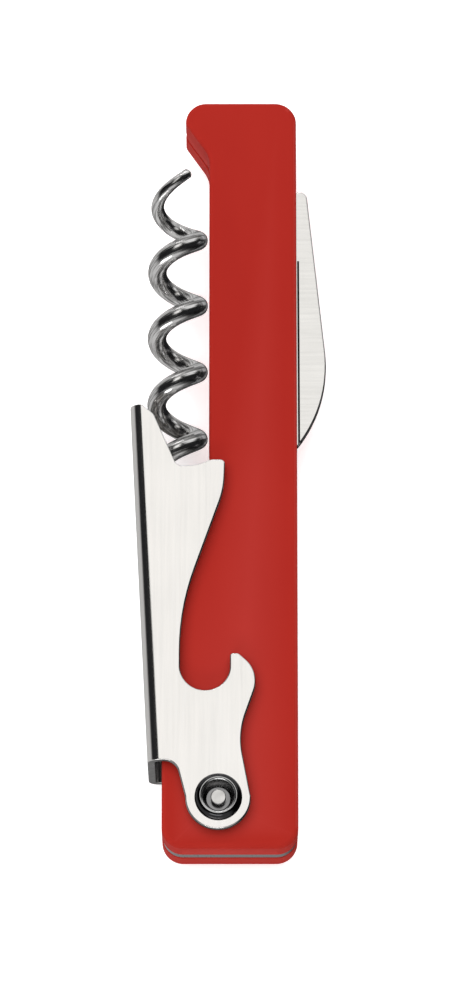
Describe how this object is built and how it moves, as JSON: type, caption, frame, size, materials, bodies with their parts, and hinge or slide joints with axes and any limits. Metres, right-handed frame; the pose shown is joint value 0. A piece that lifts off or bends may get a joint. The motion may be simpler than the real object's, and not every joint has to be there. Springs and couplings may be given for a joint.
{
  "type": "waiters corkscrew",
  "caption": "Folding waiters corkscrew with a plastic handle, a coiled worm, a foil knife and a channel lever with a bottle rest and a cap lifter.",
  "frame": {"origin": "centre of the flat rear head of the lever rivet, which the tool rests on when it lies on its rear side", "axes": "+Y along the handle from the lever rivet to the nose, +X across the handle to the knife side, +Z along the rivet to the front side"},
  "size_m": [0.0289, 0.1155, 0.0164],
  "materials": {
    "red_plastic": "satin moulded plastic",
    "core_steel": "bare cut sheet",
    "pin_steel": "ground",
    "bush_brass": "turned",
    "spring_steel": "hardened and ground",
    "blade_steel": "polished, with ground bevels",
    "washer_brass": "stamped",
    "worm_nickel": "nickel plated wire",
    "lever_nickel": "satin nickel plated sheet",
    "washer_steel": "stamped",
    "rivet_nickel": "dark nickel",
    "plug_nickel": "bright nickel"
  },
  "bodies": {
    "handle": {"front_shell": "red_plastic", "rear_shell": "red_plastic", "core_plate": "core_steel", "shell_dowels": "pin_steel", "pivot_bush": "bush_brass", "back_spring": "spring_steel", "spring_pin": "pin_steel", "knife_pin": "pin_steel", "knife_washer_front": "washer_brass", "knife_washer_rear": "washer_brass", "worm_pin": "pin_steel", "worm_washer_front": "washer_brass", "worm_washer_rear": "washer_brass", "lever_washer_front": "washer_steel", "lever_washer_rear": "washer_steel", "lever_rivet": "rivet_nickel", "rivet_plug": "plug_nickel"},
    "lever": {"lever": "lever_nickel"},
    "worm": {"worm": "worm_nickel"},
    "knife": {"knife_blade": "blade_steel"}
  },
  "joints": [
    {"name": "lever_swing", "type": "hinge", "parent": "handle", "child": "lever", "pos_m": [0, 0, 0.0082], "axis": [0, 0, 1], "range_deg": [0, 150]},
    {"name": "worm_swing", "type": "hinge", "parent": "handle", "child": "worm", "pos_m": [-0.005, 0.026, 0.0082], "axis": [0, 0, 1], "range_deg": [0, 90]},
    {"name": "knife_swing", "type": "hinge", "parent": "handle", "child": "knife", "pos_m": [0.0076, 0.1032, 0.0082], "axis": [0, 0, 1], "range_deg": [0, 180]}
  ],
  "couplings": [
    {"joint": "worm_swing", "follows": "lever_swing", "ratio": 0.6}
  ]
}
